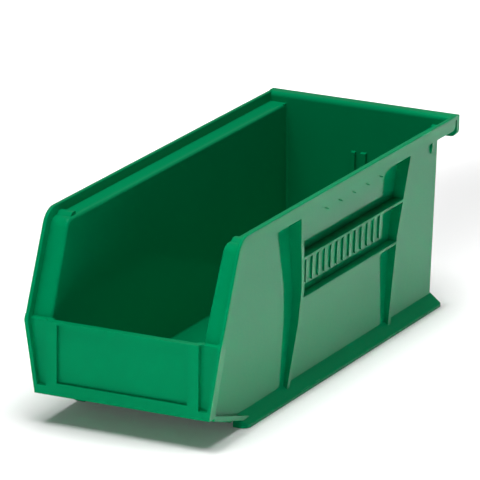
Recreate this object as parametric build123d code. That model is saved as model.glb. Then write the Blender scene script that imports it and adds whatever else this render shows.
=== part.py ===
from build123d import *
import math
import os

# Stackable, hangable storage bin: one thin-walled polypropylene moulding with a
# hopper front, modelled as its named moulded sections, which meet face to face.
# Units are millimetres. X is the width, Y runs from the front (-Y) to the back
# and Z is up. The origin is the middle of the footprint, on the floor.

# A reach beyond the whole part, for cutting and clipping
FAR = 200.0
INSIDE = 30.0

# Overall size
LENGTH = 276.2
WIDTH = 104.8
HEIGHT = 101.6
HALF_L = LENGTH / 2
HALF_W = WIDTH / 2

# Walls: a single thickness, drafted inwards towards the floor
WALL = 2.2
WALL_OUT_TOP = 43.5
WALL_OUT_LOW = 41.4
FLOOR_LOW = 4.1
FLOOR_TOP = FLOOR_LOW + WALL
BACK_OUT = 132.5
BACK_IN = BACK_OUT - WALL
CAVITY_ROUND = 1.2
COVE = 3.0
MOUTH_ROUND = 1.5
REAR_ROUND = 1.0

# Side outline: the rim runs level, then down a slanted front to a nose and a toe
FRONT_TOP_Y = -117.4
NOSE_Y = -HALF_L
NOSE_Z = 51.3
TOE_Y = -137.4
TOE_Z = 15.2
CORNER_ROUND = 11.0
NOSE_ROUND = 4.0
RAMP_BACK = -103.0
LIP_HIGH = 2.6
LIP_FRONT = -131.6
LIP_REAR = (-89.0, 2.0)
LIP_REAR_HIGH = 2.2
LIP_REAR_OUT = 44.6

# Rim band, and the ledge inside it that the next bin's rails stand on
RIM = 2.0
RIM_IN = HALF_W - RIM
TOE_OUT = 46.7
FLANGE_DEEP = 6.0
SKIRT_END = 133.2
LEDGE_DROP = 5.0
LEDGE_Z = HEIGHT - LEDGE_DROP
LEDGE_UNDER = LEDGE_Z - WALL
SKIRT_DEEP = LEDGE_DROP + WALL
RIM_ROUND = 0.6
RIM_SEAM = 54.0
SPLIT_Y = -101.0
STOP_HIGH = 1.6
STOP_BACK = -103.8
STOP_GAP = 4.5
STOP_SLOPE = 2.5

# Front label panel
PANEL_HALF = 40.6
PANEL_TOP = 52.3
PANEL_BACK = -130.5
FRAME = 1.7
LIP = 0.8
SLOT = 1.5
POCKET_DEEP = 2.7
LABEL_HALF = 34.8
LABEL_LOW = 21.6
LABEL_TOP = 50.9
POCKET_LOW = 19.5
STEP_ROUND = 0.8

# Rear hanger
SHELF = 2.2
HANGER_LOW = 90.1
HANGER_LIP = 3.0
HANGER_CORNER = 3.6
HANGER_EDGE = 0.8
REAR_TOP_ROUND = 2.5

# Outside ribs, bars, finger grip and the blank ridges between the bars
RIB_THICK = 3.0
RIB_LOW_OUT = 43.9
RIB_LOW_Z = 9.0
RIB_FOOT = 4.6
FRONT_RIB = [(-47.0, LEDGE_UNDER), (-37.9, 53.6), (-38.4, 36.6), (-44.2, RIB_FOOT)]
REAR_RIB = [(82.4, LEDGE_UNDER), (75.2, 52.6), (75.3, RIB_FOOT)]
RIB_HEAD = 3.0
BAR_TOPS = {"upper": 71.2, "lower": 49.6}
BAR_THICK = 1.6
BAR_ROUND = 0.4
GRIP_PITCH = 16.05
GRIP_HOLLOWS = 6
GRIP_REAR = 45.4
GRIP_LOW = 91.2
GRIP_CUT_R = 12.5
GRIP_CUT_TOP = LEDGE_UNDER - 0.4
GRIP_SEAM = 95.4
RIDGE_COUNT = 13
RIDGE_PITCH = 7.2
RIDGE_WIDE = 3.6
RIDGE_PROUD = 0.8
RIDGE_LOW = 53.5
RIDGE_TOP = 66.5
RIDGE_ROUND = 1.6
NIB_Y = 124.3
NIB_THICK = 2.0
NIB_SIDE = [(44.2, 89.2), (44.4, 87.0), (43.8, 83.2)]

# Base rails, and the guide ribs on the back wall
RAIL_IN = 40.0
RAIL_OUT = 47.6
RAIL_EDGE = 1.5
RAIL_ROUND = 0.6
RAIL_TOP = 6.4
RAIL_FRONT = -97.2
RAIL_REAR = 132.8
RAIL_FOOT_OUT = 41.3
RAIL_FRONT_ROUND = 4.5
RAIL_REAR_ROUND = 1.0
GUIDES = [(-3.5, -1.3), (1.8, 4.8)]
GUIDE_TOP = 76.0
GUIDE_DEEP = 2.0
GUIDE_RISE = 0.4


def inset(a, b, distance):
    """The line from a to b, moved to its left."""
    run = math.hypot(b[0] - a[0], b[1] - a[1])
    dy, dz = (b[0] - a[0]) / run, (b[1] - a[1]) / run
    return [(p[0] - dz * distance, p[1] + dy * distance) for p in (a, b)]


def meet(one, two):
    """Where two lines cross."""
    (a, b), (c, d) = one, two
    r = (b[0] - a[0], b[1] - a[1])
    s = (d[0] - c[0], d[1] - c[1])
    t = ((c[0] - a[0]) * s[1] - (c[1] - a[1]) * s[0]) / (r[0] * s[1] - r[1] * s[0])
    return (a[0] + t * r[0], a[1] + t * r[1])


def slant_line(distance):
    return inset((FRONT_TOP_Y, HEIGHT), (NOSE_Y, NOSE_Z), distance)


def front_line(distance):
    return inset((NOSE_Y, NOSE_Z), (TOE_Y, TOE_Z), distance)


def level(z):
    return [(0.0, z), (1.0, z)]


def outline(drop, low, back):
    """The rim's side view, inset: its rear top, front top, nose and toe."""
    return [
        (back, HEIGHT - drop[0]),
        meet(level(HEIGHT - drop[0]), slant_line(drop[1])),
        meet(slant_line(drop[1]), front_line(drop[1])),
        meet(front_line(drop[1]), level(low)),
    ]


def web_profile(drop, deep, step, low):
    """Behind the flange: top of the slant, its foot, the step forward, and the foot."""
    return [
        meet(level(HEIGHT - drop), slant_line(drop)),
        meet(slant_line(drop), level(step)),
        meet(front_line(deep), level(step)),
        meet(front_line(deep), level(low)),
    ]


def shape(points, radii=None):
    """A closed flat shape; radii gives the rounding of some points by position."""
    face = make_face(Polyline(*points, close=True))
    for index, radius in (radii or {}).items():
        u, v = points[index]
        corner = min(face.vertices(), key=lambda p: math.hypot(p.X - u, p.Y - v))
        face = fillet(corner, radius)
    return face


def side_slab(face, x_from, x_to):
    """Extrudes a side view (Y, Z) from one X to another."""
    return Pos(x_from, 0, 0) * extrude(Plane.YZ * face, amount=x_to - x_from)


def front_slab(face, y_from, y_to):
    """Extrudes a front view (X, Z) from one Y to another."""
    return Pos(0, y_to, 0) * extrude(Plane.XZ * face, amount=y_to - y_from)


def plan_slab(face, z_from, z_to):
    """Extrudes a plan view (X, Y) from one Z to another."""
    return Pos(0, 0, z_from) * extrude(Plane.XY * face, amount=z_to - z_from)


def box(x, y, z):
    """A box from three (low, high) pairs."""
    size = [high - low for low, high in (x, y, z)]
    middle = [(low + high) / 2 for low, high in (x, y, z)]
    return Pos(*middle) * Box(*size)


def wall_out(z):
    """Half the outside width of the drafted tub at a height."""
    share = (z - FLOOR_LOW) / (LEDGE_Z - FLOOR_LOW)
    return WALL_OUT_LOW + share * (WALL_OUT_TOP - WALL_OUT_LOW)


def drafted(grow, low, high, y_from=-HALF_L, y_to=HALF_L):
    """A block with the tub's drafted cross-section, grown sideways."""
    a, b = wall_out(low) + grow, wall_out(high) + grow
    return front_slab(shape([(-a, low), (a, low), (b, high), (-b, high)]), y_from, y_to)


def upright(y):
    return [(y, 0.0), (y, 1.0)]


def quad(one, two, low, high):
    """The side view between two near-upright lines and two heights."""
    ends = ((one, low), (two, low), (two, high), (one, high))
    return shape([meet(line, level(z)) for line, z in ends])


def toe_cut():
    """What the raised toe takes away under the ramp at the front."""
    points = [(-FAR, TOE_Z), (TOE_Y, TOE_Z), (RAMP_BACK, FLOOR_LOW)]
    points += [(RAMP_BACK, -FAR), (-FAR, -FAR)]
    return side_slab(shape(points), -HALF_W, HALF_W)


def tub_block():
    """The outside of the tub, solid, with the label panel's block in front."""
    rear = [(BACK_OUT, FLOOR_LOW), (BACK_OUT, LEDGE_Z)]
    front = web_profile(LEDGE_DROP, POCKET_DEEP, PANEL_TOP, FLOOR_LOW)
    side = shape(rear + front, {2: CORNER_ROUND - LEDGE_DROP})
    main = side_slab(side, -HALF_W, HALF_W) & drafted(0, FLOOR_LOW, LEDGE_Z)
    corners = main.edges().filter_by(lambda edge: edge.center().Y > BACK_OUT - 0.1)
    corners = corners.filter_by(lambda edge: abs(edge.center().X) > WALL_OUT_LOW - 1)
    main = fillet(corners, REAR_ROUND)
    panel = quad(front_line(FRAME), upright(PANEL_BACK), FLOOR_LOW, PANEL_TOP)
    return main + side_slab(panel, -PANEL_HALF, PANEL_HALF) - toe_cut()


def cavity():
    """The inside of the tub, with rounded corners."""
    high = HEIGHT + INSIDE
    ramp = [(TOE_Y, TOE_Z + WALL), (RAMP_BACK, FLOOR_TOP)]
    foot = meet(ramp, front_line(POCKET_DEEP + WALL))
    side = [(BACK_IN, FLOOR_TOP), (BACK_IN, high), (foot[0], high), foot]
    side.append((RAMP_BACK, FLOOR_TOP))
    inside = drafted(-WALL, FLOOR_TOP, high)
    main = side_slab(shape(side), -HALF_W, HALF_W) & inside
    low_edges = main.edges().filter_by(lambda edge: edge.center().Z < high - 1)
    main = fillet(low_edges.filter_by(lambda edge: edge.center().Y > foot[0] + 1), CAVITY_ROUND)
    inner = front_line(FRAME + WALL)
    back = upright(PANEL_BACK + WALL)
    pocket = [meet(inner, level(high)), meet(ramp, inner), meet(ramp, back)]
    pocket.append((PANEL_BACK + WALL, high))
    half = PANEL_HALF - WALL
    mouth = box((-FAR, FAR), (-FAR, foot[0] + 1), (PANEL_TOP, high))
    mouth = mouth & drafted(-WALL, FLOOR_TOP, high, -FAR)
    return main + side_slab(shape(pocket), -half, half) + mouth


def round_mouth(wall):
    """Rounds the inside top edge of the right wall, and its slanted front edge."""

    def on_mouth(edge):
        middle = edge.center()
        off = middle.X - (wall_out(middle.Z) - WALL)
        return abs(off) < 0.1 and middle.Z > PANEL_TOP + 1 and middle.Y < BACK_IN - COVE - 1

    return fillet(wall.edges().filter_by(on_mouth), MOUTH_ROUND)


def rim_band():
    """The right rim: the skirt above and the front flange, which narrows to the toe."""
    outer = outline((0, 0), TOE_Z, SKIRT_END)
    inner = outline((SKIRT_DEEP, FLANGE_DEEP), TOE_Z, SKIRT_END)
    rounds = {1: CORNER_ROUND, 2: NOSE_ROUND, 5: 3.0, 6: 5.0, 7: 3.0}
    face = shape(outer + inner[::-1], rounds)
    toe_in = TOE_OUT - RIM
    high = HEIGHT + RIM
    section = [(RIM_IN, high), (HALF_W, high), (HALF_W, NOSE_Z), (TOE_OUT, TOE_Z)]
    section += [(toe_in, TOE_Z), (RIM_IN, NOSE_Z)]
    band = side_slab(face, INSIDE, HALF_W + RIM)
    return band & front_slab(shape(section), -HALF_L, HALF_L)


def round_rim(band):
    """Rounds the rim's two upper edges, along the top and down the slant."""
    above = box((0, FAR), (-FAR, FAR), (RIM_SEAM, FAR))

    def upper(edge):
        middle = edge.center()
        on_side = min(abs(middle.X - RIM_IN), abs(middle.X - HALF_W)) < 0.01
        return on_side and middle.Z > HEIGHT - 0.01

    upper_part = band & above
    return fillet(upper_part.edges().filter_by(upper), RIM_ROUND) + (band - above)


def finger_grip():
    """The scalloped strip under the right skirt that the fingers hold."""
    centres = [GRIP_REAR + GRIP_PITCH * (0.5 - i) for i in range(GRIP_HOLLOWS)]
    strip = box((RIM_IN, HALF_W), (centres[-1], centres[0]), (GRIP_LOW, GRIP_SEAM))
    hollow = Circle(GRIP_CUT_R)
    face = Sketch() + [Pos(y, GRIP_CUT_TOP - GRIP_CUT_R) * hollow for y in centres]
    return strip - side_slab(face, INSIDE, HALF_W + RIM)


def ledge_band(tub):
    """The ledge inside the rim and the web behind the front flange, right side."""
    outer = [(BACK_IN, LEDGE_Z)]
    outer += web_profile(LEDGE_DROP, POCKET_DEEP, PANEL_TOP, TOE_Z)
    inner = [(BACK_IN, LEDGE_UNDER)]
    inner += web_profile(LEDGE_DROP + WALL, POCKET_DEEP + WALL, PANEL_TOP - WALL, TOE_Z)
    radius = CORNER_ROUND - LEDGE_DROP
    face = shape(outer + inner[::-1], {1: radius, 3: STEP_ROUND, 8: radius - WALL})
    toe_in = TOE_OUT - RIM
    section = [(INSIDE, HEIGHT), (RIM_IN, HEIGHT), (RIM_IN, NOSE_Z), (toe_in, TOE_Z)]
    section.append((INSIDE, TOE_Z))
    band = side_slab(face, INSIDE, RIM_IN)
    return (band & front_slab(shape(section), -HALF_L, HALF_L)) - tub


def rib(path, tub, rail):
    """A tapered rib on the right wall, along a path in the side view."""
    back = [(y + RIB_THICK, z) for y, z in path]
    strip = side_slab(shape(path + back[::-1]), INSIDE, HALF_W)
    section = [
        (INSIDE, LEDGE_UNDER),
        (RIM_IN, LEDGE_UNDER),
        (RIM_IN, LEDGE_UNDER - RIB_HEAD),
        (RIB_LOW_OUT, RIB_LOW_Z),
        (RIB_LOW_OUT - 0.4, RIB_FOOT),
        (INSIDE, RIB_FOOT),
    ]
    return (strip & front_slab(shape(section), -HALF_L, HALF_L)) - tub - rail


def rib_edge(z):
    """How far out the ribs and bars reach at a height."""
    share = (z - RIB_LOW_Z) / (LEDGE_UNDER - RIB_HEAD - RIB_LOW_Z)
    return RIB_LOW_OUT + share * (RIM_IN - RIB_LOW_OUT)


def bar(top, tub, ribs):
    """A horizontal bar between the ribs of the right wall."""
    out = rib_edge(top)
    low = top - BAR_THICK
    section = shape(
        [(INSIDE, low), (out, low), (out, top), (INSIDE, top)],
        {1: BAR_ROUND, 2: BAR_ROUND},
    )
    between = side_slab(shape(FRONT_RIB + REAR_RIB[::-1]), INSIDE, HALF_W)
    slab = front_slab(section, -HALF_L, HALF_L) & between
    return slab - tub - ribs[0] - ribs[1]


def ridges(tub):
    """Plain upright ridges on the right wall between the bars."""
    middle = (FRONT_RIB[1][0] + RIB_THICK + REAR_RIB[1][0]) / 2
    first = middle - RIDGE_PITCH * (RIDGE_COUNT - 1) / 2
    high = RIDGE_TOP - RIDGE_LOW
    ridge = RectangleRounded(RIDGE_WIDE, high, RIDGE_ROUND)
    centre = RIDGE_LOW + high / 2
    face = Sketch() + [Pos(first + RIDGE_PITCH * i, centre) * ridge for i in range(RIDGE_COUNT)]
    proud = drafted(RIDGE_PROUD, FLOOR_LOW, LEDGE_Z)
    return (side_slab(face, INSIDE, HALF_W) & proud) - tub


def base_rail(tub):
    """The flared foot rail under the right wall."""
    section = [(RAIL_IN, RAIL_TOP), (RAIL_IN, 0), (RAIL_OUT, 0), (RAIL_OUT, RAIL_EDGE)]
    section.append((RAIL_FOOT_OUT, RAIL_TOP))
    rail = front_slab(shape(section, {3: RAIL_ROUND}), RAIL_FRONT, RAIL_REAR)
    corners = [(INSIDE, RAIL_FRONT), (RAIL_OUT, RAIL_FRONT), (RAIL_OUT, RAIL_REAR)]
    corners.append((INSIDE, RAIL_REAR))
    plan = shape(corners, {1: RAIL_FRONT_ROUND, 2: RAIL_REAR_ROUND})
    return (rail & plan_slab(plan, -RIM, HEIGHT)) - tub


def toe_lip(tub, rail, others):
    """The narrow lip that runs back from the toe and dies out on the foot rail."""
    rear_y, rear_z = LIP_REAR
    side = [(TOE_Y, TOE_Z), LIP_REAR, (rear_y, rear_z + LIP_REAR_HIGH)]
    side.append((TOE_Y, TOE_Z + LIP_HIGH))
    inner = WALL_OUT_LOW - WALL / 2
    plan = [(inner, LIP_FRONT), (TOE_OUT, LIP_FRONT), (LIP_REAR_OUT, rear_y)]
    plan.append((inner, rear_y))
    lip = side_slab(shape(side), inner, HALF_W) & plan_slab(shape(plan), 0, HEIGHT)
    return lip - tub - rail - others


def toe_block(tub, others):
    """The solid bottom of the side pocket between the label panel and the flange."""
    side = quad(front_line(0), front_line(POCKET_DEEP), TOE_Z, POCKET_LOW)
    toe_in = TOE_OUT - RIM
    share = (POCKET_LOW - TOE_Z) / (NOSE_Z - TOE_Z)
    wide = toe_in + share * (RIM_IN - toe_in)
    front = [(PANEL_HALF, TOE_Z), (toe_in, TOE_Z), (wide, POCKET_LOW)]
    front.append((PANEL_HALF, POCKET_LOW))
    slab = side_slab(side, INSIDE, HALF_W)
    return (slab & front_slab(shape(front), -HALF_L, 0)) - tub - others


def ledge_stop():
    """The raised stop at the front of the right ledge."""
    top = LEDGE_Z + STOP_HIGH
    front = meet(level(LEDGE_Z), slant_line(LEDGE_DROP))[0] + STOP_GAP
    points = [(STOP_BACK, LEDGE_Z), (STOP_BACK, top)]
    points += [(front + STOP_SLOPE, top), (front, LEDGE_Z)]
    flat_from = wall_out(LEDGE_Z) - WALL + MOUTH_ROUND
    return side_slab(shape(points, {1: 0.5, 2: 1.5}), flat_from, RIM_IN)


def rear_nib(tub):
    """The small upright nib near the back of the right wall."""
    high, low = NIB_SIDE[0][1], NIB_SIDE[-1][1]
    section = shape([(INSIDE, high)] + NIB_SIDE + [(INSIDE, low)])
    half = NIB_THICK / 2
    return front_slab(section, NIB_Y - half, NIB_Y + half) - tub


def label_strips():
    """The raised frame round the label recess, as left, right, bottom and top strips.

    A label slides under the left, right and bottom strips, which are undercut.
    """
    spans = {
        "left": ((-PANEL_HALF, -LABEL_HALF), (TOE_Z, PANEL_TOP)),
        "right": ((LABEL_HALF, PANEL_HALF), (TOE_Z, PANEL_TOP)),
        "bottom": ((-LABEL_HALF, LABEL_HALF), (TOE_Z, LABEL_LOW)),
        "top": ((-LABEL_HALF, LABEL_HALF), (LABEL_TOP, PANEL_TOP)),
    }
    outer, face = front_line(0), front_line(FRAME)
    slot = quad(front_line(LIP), face, LABEL_LOW - SLOT, LABEL_TOP)
    slot = side_slab(slot, -LABEL_HALF - SLOT, LABEL_HALF + SLOT)
    strips = {}
    for name, (across, (low, high)) in spans.items():
        strips[name] = side_slab(quad(outer, face, low, high), *across) - slot
    return strips


def rear_rim(tub):
    """The top of the back wall, with an ear at each end that closes the ledge."""
    under = HEIGHT - SHELF
    points = [(BACK_IN, LEDGE_UNDER), (BACK_IN, HEIGHT), (SKIRT_END, HEIGHT)]
    points += [(SKIRT_END, under), (BACK_OUT, under), (BACK_OUT, LEDGE_UNDER)]
    return side_slab(shape(points, {1: REAR_TOP_ROUND}), -RIM_IN, RIM_IN) - tub


def hanger():
    """The shelf behind the back wall and its turned-down hanging lip."""
    lip_in = HALF_L - HANGER_LIP
    under = HEIGHT - SHELF
    points = [(SKIRT_END, HEIGHT), (HALF_L, HEIGHT), (HALF_L, HANGER_LOW)]
    points += [(lip_in, HANGER_LOW), (lip_in, under), (SKIRT_END, under)]
    lip = side_slab(shape(points, {1: HANGER_EDGE}), -HALF_W, HALF_W)
    front = [(-HALF_W, HANGER_LOW), (HALF_W, HANGER_LOW), (HALF_W, FAR), (-HALF_W, FAR)]
    rounded = shape(front, {0: HANGER_CORNER, 1: HANGER_CORNER})
    return lip & front_slab(rounded, 0, FAR)


def guides():
    """The pair of short divider guides inside the back wall."""
    low = FLOOR_TOP + CAVITY_ROUND
    face = BACK_IN - GUIDE_DEEP
    side = [(BACK_IN, low), (BACK_IN, GUIDE_TOP + GUIDE_RISE), (face, GUIDE_TOP), (face, low)]
    return [side_slab(shape(side), x_low, x_high) for x_low, x_high in GUIDES]


def both_sides(name, solid):
    return {"right_" + name: solid, "left_" + name: mirror(solid, about=Plane.YZ)}


def tub_sections(tub):
    """The hollow tub, split into the panels that meet at its corners."""
    core = wall_out(FLOOR_TOP) - WALL - COVE
    back_cut = BACK_IN - COVE
    front = box((-FAR, FAR), (-FAR, PANEL_BACK), (-FAR, PANEL_TOP))
    rest = tub - front
    middle = rest & box((-core, core), (-FAR, FAR), (-FAR, FAR))
    wall = rest & box((core, FAR), (-FAR, back_cut), (-FAR, FAR))
    corner = rest & box((core, FAR), (back_cut, FAR), (-FAR, FAR))
    sections = {
        "front_label_panel": tub & front,
        "floor_panel": middle & box((-FAR, FAR), (RAMP_BACK, back_cut), (-FAR, FAR)),
        "front_ramp": middle & box((-FAR, FAR), (-FAR, RAMP_BACK), (-FAR, PANEL_TOP)),
        "back_wall": middle & box((-FAR, FAR), (back_cut, FAR), (-FAR, FAR)),
    }
    sections.update(both_sides("side_wall", round_mouth(wall) + corner))
    return sections


def rim_sections(tub):
    """The rim with its finger grip, and the ledge and web that carry it."""
    behind = box((0, FAR), (SPLIT_Y, FAR), (0, FAR))
    before = box((0, FAR), (-FAR, SPLIT_Y), (0, FAR))
    band = rim_band()
    rounded = round_rim(band)
    grip = finger_grip()
    span = grip.bounding_box()
    seat = box((0, FAR), (span.min.Y, span.max.Y), (0, GRIP_SEAM))
    ledge = ledge_band(tub)
    sections = {}
    sections.update(both_sides("finger_grip", grip))
    sections.update(both_sides("rim_skirt", (rounded & behind) - seat))
    sections.update(both_sides("front_flange", rounded & before))
    sections.update(both_sides("stacking_ledge", ledge & behind))
    sections.update(both_sides("front_web", ledge & before))
    sections.update(both_sides("ledge_stop", ledge_stop()))
    return sections, band + ledge, ledge


def side_details(tub, rim, ledge):
    """The rails, ribs, bars, ridges and small webs on the side walls."""
    rail = base_rail(tub)
    ribs = [rib(FRONT_RIB, tub, rail), rib(REAR_RIB, tub, rail)]
    sections = {}
    sections.update(both_sides("base_rail", rail))
    sections.update(both_sides("front_rib", ribs[0]))
    sections.update(both_sides("rear_rib", ribs[1]))
    for name, top in BAR_TOPS.items():
        sections.update(both_sides(name + "_grip_bar", bar(top, tub, ribs)))
    sections.update(both_sides("blank_ridges", ridges(tub)))
    sections.update(both_sides("rear_nib", rear_nib(tub)))
    sections.update(both_sides("toe_lip", toe_lip(tub, rail, rim)))
    sections.update(both_sides("toe_block", toe_block(tub, ledge)))
    return sections


def build():
    """All the sections by name."""
    block = tub_block()
    nodes = tub_sections(block - cavity())
    rims, rim, ledge = rim_sections(block)
    nodes.update(rims)
    nodes.update(side_details(block, rim, ledge))
    for name, strip in label_strips().items():
        nodes["label_frame_" + name] = strip
    nodes["rear_rim"] = rear_rim(block)
    shelf = box((-FAR, FAR), (SKIRT_END, FAR), (HEIGHT - SHELF, FAR))
    nodes["hanger_shelf"] = hanger() & shelf
    nodes["hanger_lip"] = hanger() - shelf
    nodes["divider_guide_left"], nodes["divider_guide_right"] = guides()
    return nodes


os.makedirs("parts", exist_ok=True)
for node, solid in build().items():
    export_step(solid, f"parts/{node}.step")
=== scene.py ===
import math

import bpy
from mathutils import Matrix, Vector


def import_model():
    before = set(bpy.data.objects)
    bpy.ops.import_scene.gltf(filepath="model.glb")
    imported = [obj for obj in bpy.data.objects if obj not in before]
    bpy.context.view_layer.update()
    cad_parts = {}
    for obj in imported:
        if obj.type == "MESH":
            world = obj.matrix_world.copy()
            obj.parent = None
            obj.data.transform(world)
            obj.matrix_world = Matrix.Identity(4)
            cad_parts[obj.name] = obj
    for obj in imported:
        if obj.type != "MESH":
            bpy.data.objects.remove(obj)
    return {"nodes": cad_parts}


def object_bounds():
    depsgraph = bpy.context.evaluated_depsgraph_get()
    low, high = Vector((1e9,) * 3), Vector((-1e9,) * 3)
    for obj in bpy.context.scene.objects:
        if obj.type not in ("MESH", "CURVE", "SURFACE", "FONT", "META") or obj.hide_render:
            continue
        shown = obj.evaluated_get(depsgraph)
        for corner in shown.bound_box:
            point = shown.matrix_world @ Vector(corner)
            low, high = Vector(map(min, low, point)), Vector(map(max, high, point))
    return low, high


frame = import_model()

CAD_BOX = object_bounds()

# Camera: the photograph's viewing angle, from a long lens some way off
AZIMUTH = math.radians(25.39)
ELEVATION = math.radians(16.55)
ROLL = math.radians(1.18)
DISTANCE = 2.982
CLIP_END = 100
LENS_MM = 452.0
SENSOR_MM = 36.0
AIM_HEIGHT = 0.0505
AIM_BACK = -0.0024
AIM_RIGHT = -0.00264
AIM_UP = 0.01242

# Studio
FLOOR_HALF = 6.0
FLOOR_GAP = 0.0002
FLOOR_WHITE = 0.93
FLOOR_ROUGHNESS = 0.9
FLOOR_GLOW = 0.04
WORLD_LIGHT = 0.11

# Lamps: metres, watts and degrees
BIN_MIDDLE = (0, 0, 0.05)
FLOOR_LAMP_HEIGHT = 1.2
REAR_LAMP_HEIGHT = 1.5

# Plastic: its colour (linear), and the tint of its reflections seen straight on
GREEN = (0.0, 0.235, 0.086)
SHEEN = (0.0, 0.7, 0.4)
PLASTIC_IOR = 1.23

# Plastic's variation: shares of the colour and the roughness, and heights in metres
DARKEST, LIGHTEST = 0.95, 1.05
GLOSSIEST, DULLEST = 0.8, 1.25
PEEL_HEIGHT = 0.0004
SKIN_HEIGHT = 0.0001
SCRATCH_HEIGHT = 0.0002
PEEL_STRENGTH = 0.05
SCRATCH_STRENGTH = 0.15

# Words in the names of the pieces that aren't polished
TEXTURED = ("front_label_panel", "label_frame", "toe_block")
USED = ("floor_panel", "front_ramp", "back_wall", "stacking_ledge", "ledge_stop", "base_rail")


def camera():
    """The photograph's view, worked out from where the bin stands."""
    low, high = CAD_BOX
    middle = (low + high) / 2
    target = Vector((middle.x, middle.y + AIM_BACK, low.z + AIM_HEIGHT))
    back = Vector(
        (
            math.sin(AZIMUTH) * math.cos(ELEVATION),
            -math.cos(AZIMUTH) * math.cos(ELEVATION),
            math.sin(ELEVATION),
        )
    )
    level = Vector((math.cos(AZIMUTH), math.sin(AZIMUTH), 0))
    upright = back.cross(level)
    right = level * math.cos(ROLL) + upright * math.sin(ROLL)
    up = back.cross(right)
    data = bpy.data.cameras.new("camera")
    data.lens = LENS_MM
    data.sensor_width = SENSOR_MM
    data.clip_end = CLIP_END
    obj = bpy.data.objects.new("camera", data)
    bpy.context.scene.collection.objects.link(obj)
    place = target + right * AIM_RIGHT + up * AIM_UP + back * DISTANCE
    turn = Matrix((right, up, back)).transposed().to_4x4()
    obj.matrix_world = Matrix.Translation(place) @ turn
    bpy.context.scene.camera = obj


def area_light(name, place, aim, size, power, spread=180.0):
    """A soft rectangular lamp at a place, turned towards a point."""
    data = bpy.data.lights.new(name, "AREA")
    data.shape = "RECTANGLE"
    data.size, data.size_y = size
    data.energy = power
    data.spread = math.radians(spread)
    obj = bpy.data.objects.new(name, data)
    bpy.context.scene.collection.objects.link(obj)
    turn = (Vector(aim) - Vector(place)).to_track_quat("-Z", "Y").to_matrix().to_4x4()
    obj.matrix_world = Matrix.Translation(place) @ turn


def floor_light(name, x, y, size, power, spread, height=FLOOR_LAMP_HEIGHT):
    """A narrow-beamed lamp that shines straight down on a stretch of floor."""
    area_light(name, (x, y, height), (x, y, 0), size, power, spread)


def lamps():
    """Two lamps on the bin, and four that whiten the floor round it."""
    area_light("overhead", (0, -0.16, 1.5), BIN_MIDDLE, size=(1.1, 1.1), power=23.5)
    area_light("key", (-0.1, -1.7, 0.38), BIN_MIDDLE, size=(0.6, 0.4), power=2.6)
    floor_light("floor_right", x=0.29, y=0, size=(0.46, 1.2), power=1.3, spread=8)
    floor_light("floor_front", x=0.1, y=-0.6, size=(1.6, 0.84), power=3, spread=6)
    floor_light("floor_left", x=-0.56, y=0, size=(0.96, 1.2), power=2.1, spread=6)
    floor_light(
        "floor_rear", x=0, y=1.25, size=(3, 1.6), power=10, spread=10, height=REAR_LAMP_HEIGHT
    )


def floor():
    """A plain pale studio floor, just below the foot rails."""
    half = FLOOR_HALF
    corners = [(-half, -half, 0), (half, -half, 0), (half, half, 0), (-half, half, 0)]
    mesh = bpy.data.meshes.new("floor")
    mesh.from_pydata(corners, [], [(0, 1, 2, 3)])
    obj = bpy.data.objects.new("floor", mesh)
    bpy.context.scene.collection.objects.link(obj)
    obj.location.z = -FLOOR_GAP
    mat = bpy.data.materials.new("floor")
    mat.use_nodes = True
    shader = mat.node_tree.nodes["Principled BSDF"]
    shader.inputs["Base Color"].default_value = (FLOOR_WHITE, FLOOR_WHITE, FLOOR_WHITE, 1)
    shader.inputs["Roughness"].default_value = FLOOR_ROUGHNESS
    shader.inputs["Specular IOR Level"].default_value = 0.0
    shader.inputs["Emission Color"].default_value = (1, 1, 1, 1)
    shader.inputs["Emission Strength"].default_value = FLOOR_GLOW
    mesh.materials.append(mat)


def world():
    """Even, dim light from all round the studio."""
    studio = bpy.data.worlds.new("studio")
    studio.use_nodes = True
    background = studio.node_tree.nodes["Background"]
    background.inputs["Color"].default_value = (1, 1, 1, 1)
    background.inputs["Strength"].default_value = WORLD_LIGHT
    bpy.context.scene.world = studio


def scaled(colour, factor):
    """A colour made lighter or darker, with an alpha of 1."""
    return (*[channel * factor for channel in colour], 1)


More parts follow.
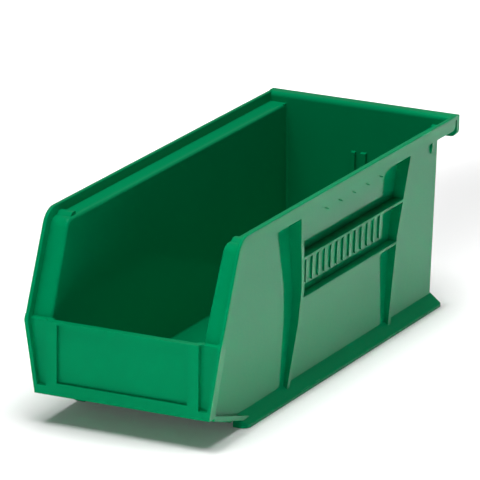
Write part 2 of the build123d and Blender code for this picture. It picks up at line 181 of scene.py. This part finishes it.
class Shading:
    """A material under construction: adds nodes and links them."""

    def __init__(self, name):
        self.material = bpy.data.materials.new(name)
        self.material.use_nodes = True
        self.tree = self.material.node_tree
        self.surface = self.tree.nodes["Principled BSDF"]
        self.place = self.tree.nodes.new("ShaderNodeTexCoord").outputs["Object"]

    def link(self, source, node, socket):
        self.tree.links.new(source, node.inputs[socket])

    def noise(self, scale, detail, stretch=1):
        """Noise fixed to the part; stretch draws it out along the bin."""
        mapping = self.tree.nodes.new("ShaderNodeMapping")
        mapping.inputs["Scale"].default_value = (1, 1 / stretch, 1)
        self.link(self.place, mapping, "Vector")
        node = self.tree.nodes.new("ShaderNodeTexNoise")
        node.inputs["Scale"].default_value = scale
        node.inputs["Detail"].default_value = detail
        self.link(mapping.outputs["Vector"], node, "Vector")
        return node.outputs["Fac"]

    def remap(self, source, low, high, out_low=0, out_high=1):
        """Maps one range of values to another, and clamps it."""
        node = self.tree.nodes.new("ShaderNodeMapRange")
        node.inputs["From Min"].default_value = low
        node.inputs["From Max"].default_value = high
        node.inputs["To Min"].default_value = out_low
        node.inputs["To Max"].default_value = out_high
        self.link(source, node, "Value")
        return node.outputs["Result"]

    def combine(self, one, two, operation):
        """One value and another, put together by a Math node's operation."""
        node = self.tree.nodes.new("ShaderNodeMath")
        node.operation = operation
        self.tree.links.new(one, node.inputs[0])
        self.tree.links.new(two, node.inputs[1])
        return node.outputs["Value"]

    def mix(self, share, low, high):
        """A colour between two others."""
        node = self.tree.nodes.new("ShaderNodeMix")
        node.data_type = "RGBA"
        node.inputs["A"].default_value = low
        node.inputs["B"].default_value = high
        self.link(share, node, "Factor")
        return node.outputs["Result"]

    def bump(self, height, distance, strength, below=None):
        """A relief, laid over another where one is given."""
        node = self.tree.nodes.new("ShaderNodeBump")
        node.inputs["Distance"].default_value = distance
        node.inputs["Strength"].default_value = strength
        self.link(height, node, "Height")
        if below:
            self.link(below, node, "Normal")
        return node.outputs["Normal"]


def plastic(name, roughness, grain, wear):
    """Moulded polypropylene: pigment flow, a fine skin, and some handling wear."""
    m = Shading(name)
    flow = m.remap(m.noise(scale=14, detail=3, stretch=2.5), 0.3, 0.7)
    colour = m.mix(flow, scaled(GREEN, DARKEST), scaled(GREEN, LIGHTEST))
    m.link(colour, m.surface, "Base Color")

    streaks = m.remap(m.noise(scale=900, detail=2, stretch=30), 0.68, 0.74, out_high=wear)
    patches = m.remap(m.noise(scale=30, detail=2), 0.52, 0.66)
    scratches = m.combine(streaks, patches, "MULTIPLY")
    clouds = m.noise(scale=55, detail=4)
    haze = m.remap(clouds, 0.3, 0.7, roughness * GLOSSIEST, roughness * DULLEST)
    m.link(m.combine(haze, scratches, "ADD"), m.surface, "Roughness")

    peel = m.bump(m.noise(scale=170, detail=2), PEEL_HEIGHT, PEEL_STRENGTH)
    skin = m.bump(m.noise(scale=2600, detail=2), SKIN_HEIGHT, grain, peel)
    relief = m.bump(scratches, SCRATCH_HEIGHT, SCRATCH_STRENGTH, skin)
    m.link(relief, m.surface, "Normal")

    m.surface.inputs["IOR"].default_value = PLASTIC_IOR
    m.surface.inputs["Specular Tint"].default_value = (*SHEEN, 1)
    return m.material


def finish_of(name, finishes):
    """The finish of a piece, from the words in its name."""
    if any(word in name for word in USED):
        return finishes["used"]
    if any(word in name for word in TEXTURED):
        return finishes["textured"]
    return finishes["polished"]


camera()
world()
floor()
lamps()

finishes = {
    "polished": plastic("polished_plastic", roughness=0.07, grain=0.05, wear=0.06),
    "used": plastic("handled_plastic", roughness=0.12, grain=0.1, wear=0.16),
    "textured": plastic("textured_plastic", roughness=0.2, grain=0.3, wear=0.04),
}
for name, node in frame["nodes"].items():
    node.data.materials.clear()
    node.data.materials.append(finish_of(name, finishes))

bpy.context.scene.view_settings.view_transform = "Standard"
